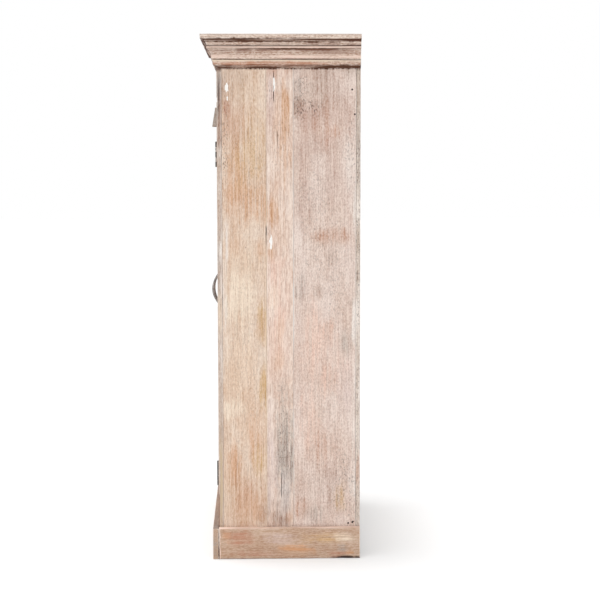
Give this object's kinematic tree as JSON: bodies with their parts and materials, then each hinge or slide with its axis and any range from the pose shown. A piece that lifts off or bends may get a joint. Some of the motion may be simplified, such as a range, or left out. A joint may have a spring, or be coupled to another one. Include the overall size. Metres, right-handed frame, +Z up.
{
  "type": "cupboard",
  "caption": "Tall whitewashed plank cupboard with a moulded cornice, plain plinth, carved stiles, panelled doors on iron hinges and bow handles; shelves inside.",
  "frame": {"origin": "on the floor, under the middle of the outer box", "axes": "+Z up, the doors face -Y, +X is the right side for someone who faces the doors"},
  "size_m": [0.996, 0.543, 1.8],
  "materials": {
    "limewashed_wood": "thin worn whitewash over warm brown wood, dry and matt",
    "carved_wood": "worn whitewash with dark dirt left in the carving",
    "inner_wood": "thinly washed sawn wood",
    "iron": "aged dark iron with traces of whitewash",
    "dull_steel": "dull drawn steel",
    "catch_plastic": "brown moulded case"
  },
  "bodies": {
    "case": {"back_plank_1": "inner_wood", "back_plank_2": "inner_wood", "back_plank_3": "inner_wood", "back_plank_4": "inner_wood", "bolt_keeper": "inner_wood", "bottom_rail": "limewashed_wood", "ceiling_board": "inner_wood", "cornice_bed_front": "limewashed_wood", "cornice_bed_left": "limewashed_wood", "cornice_bed_right": "limewashed_wood", "cornice_crown_front": "limewashed_wood", "cornice_crown_left": "limewashed_wood", "cornice_crown_right": "limewashed_wood", "door_stops": "inner_wood", "floor_board": "inner_wood", "frieze_rail": "limewashed_wood", "hinge_pins": "iron", "left_front_stile": "carved_wood", "left_hinge_frame_leaves": "iron", "left_petal_block": "carved_wood", "left_side_back_plank": "limewashed_wood", "left_side_front_plank": "limewashed_wood", "left_side_middle_plank": "limewashed_wood", "lower_shelf": "inner_wood", "magnetic_catch": "catch_plastic", "middle_shelf": "inner_wood", "plinth_front": "limewashed_wood", "plinth_left": "limewashed_wood", "plinth_right": "limewashed_wood", "right_front_stile": "carved_wood", "right_hinge_frame_leaves": "iron", "right_petal_block": "carved_wood", "right_side_back_plank": "limewashed_wood", "right_side_front_plank": "limewashed_wood", "right_side_middle_plank": "limewashed_wood", "shelf_cleats": "inner_wood", "top_back_board": "limewashed_wood", "top_front_board": "limewashed_wood", "upper_shelf": "inner_wood"},
    "right_door": {"catch_strike": "dull_steel", "right_door_bottom_rail": "limewashed_wood", "right_door_hinge_stile": "limewashed_wood", "right_door_lock_rail": "limewashed_wood", "right_door_lower_panel": "limewashed_wood", "right_door_meeting_stile": "limewashed_wood", "right_door_top_rail": "limewashed_wood", "right_door_upper_panel": "limewashed_wood", "right_handle": "iron", "right_hinge_door_leaves": "iron"},
    "left_door": {"bolt_plate": "dull_steel", "left_door_bottom_rail": "limewashed_wood", "left_door_hinge_stile": "limewashed_wood", "left_door_lock_rail": "limewashed_wood", "left_door_lower_panel": "limewashed_wood", "left_door_meeting_stile": "limewashed_wood", "left_door_top_rail": "limewashed_wood", "left_door_upper_panel": "limewashed_wood", "left_handle": "iron", "left_hinge_door_leaves": "iron"},
    "bolt": {"bolt_rod": "dull_steel"}
  },
  "joints": [
    {"name": "right_door_hinge", "type": "hinge", "parent": "case", "child": "right_door", "pos_m": [0.3735, -0.2219, 0.84], "axis": [0, 0, 1], "range_deg": [0, 165]},
    {"name": "left_door_hinge", "type": "hinge", "parent": "case", "child": "left_door", "pos_m": [-0.3735, -0.2219, 0.84], "axis": [0, 0, -1], "range_deg": [0, 165]},
    {"name": "bolt_slide", "type": "slide", "parent": "left_door", "child": "bolt", "axis": [0, 0, 1], "range_m": [0, 0.013]}
  ]
}
